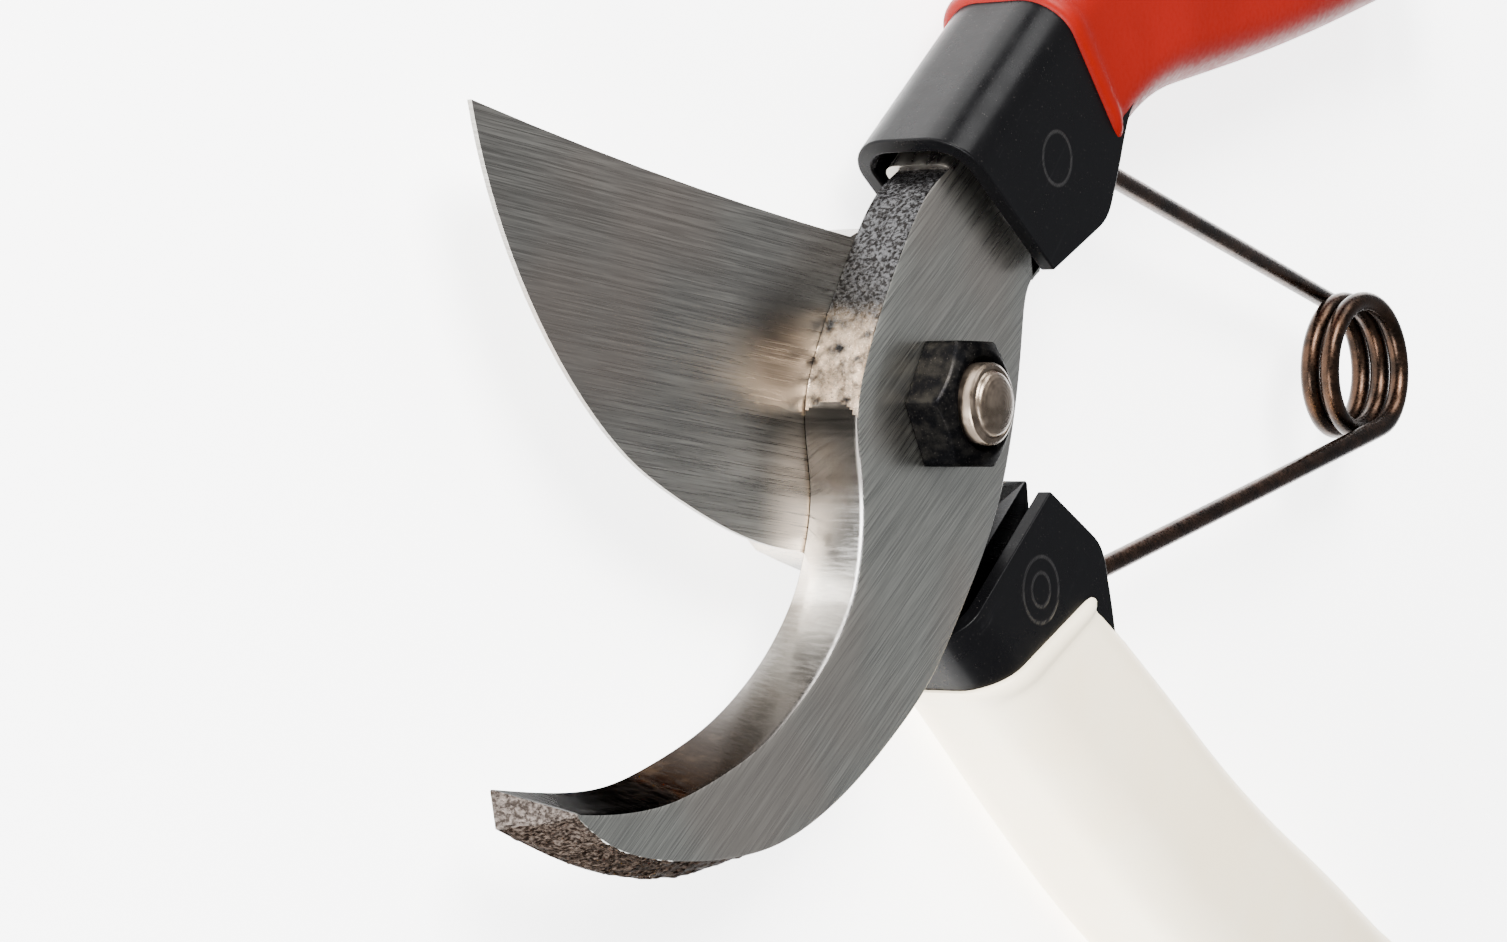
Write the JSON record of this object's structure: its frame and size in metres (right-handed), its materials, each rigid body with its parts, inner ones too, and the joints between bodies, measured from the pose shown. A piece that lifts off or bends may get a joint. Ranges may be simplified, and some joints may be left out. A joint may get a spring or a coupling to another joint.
{
  "type": "pruning shears",
  "caption": "Open bypass pruning shears with a hooked counter blade, a curved cutting blade, sleeved channel handles, a coiled wire spring and a wire latch.",
  "frame": {"origin": "on the pivot's axis, on the flat face of the bolt's head that the shears rest on", "axes": "+X from the pivot towards the handles, along the line between the two open handles; +Z along the pivot from the bolt's head to its nut; +Y towards the red handle"},
  "size_m": [0.1833, 0.1468, 0.0229],
  "materials": {
    "cutting_steel": "brushed tool steel, ground flat",
    "counter_steel": "forged tool steel with ground faces",
    "black_steel": "black lacquered pressed steel, semi-gloss",
    "oxide_steel": "black oxide",
    "bolt_steel": "turned steel",
    "spring_steel": "oil-tempered spring wire, dark bronze",
    "latch_steel": "bright wire",
    "red_vinyl": "dipped vinyl, satin gloss",
    "white_vinyl": "dipped vinyl, satin gloss"
  },
  "bodies": {
    "counter_side": {"counter_blade": "counter_steel", "pivot_bolt": "bolt_steel", "pivot_nut": "oxide_steel", "red_handle_shell": "black_steel", "red_grip": "red_vinyl", "red_tang_rivets": "black_steel", "red_spring_pin": "oxide_steel"},
    "cutting_side": {"cutting_blade": "cutting_steel", "white_handle_shell": "black_steel", "white_grip": "white_vinyl", "white_tang_rivets": "black_steel", "white_spring_pin": "oxide_steel", "latch_bush": "latch_steel"},
    "spring_upper_half": {"spring_upper": "spring_steel"},
    "spring_lower_half": {"spring_lower": "spring_steel"},
    "latch": {"latch_bail": "latch_steel"}
  },
  "joints": [
    {"name": "blade_pivot", "type": "hinge", "parent": "counter_side", "child": "cutting_side", "pos_m": [0, 0, 0.0096], "axis": [0, 0, 1], "range_deg": [0, 52], "stiffness_Nm_per_rad": 0.9},
    {"name": "spring_upper_turn", "type": "hinge", "parent": "counter_side", "child": "spring_upper_half", "pos_m": [0.0246, 0.0277, 0.0111], "axis": [0, 0, 1], "range_deg": [0, 30]},
    {"name": "spring_lower_turn", "type": "hinge", "parent": "spring_upper_half", "child": "spring_lower_half", "pos_m": [0.0947, 0.0057, 0.0096], "axis": [0, 0, 1], "range_deg": [-23, 0]},
    {"name": "latch_swing", "type": "hinge", "parent": "cutting_side", "child": "latch", "pos_m": [0.1094, -0.06942, 0.0096], "axis": [0, 0, 1], "range_deg": [0, 222]}
  ],
  "couplings": [
    {"joint": "spring_upper_turn", "follows": "blade_pivot", "ratio": 0.557},
    {"joint": "spring_lower_turn", "follows": "blade_pivot", "ratio": -0.4219}
  ]
}
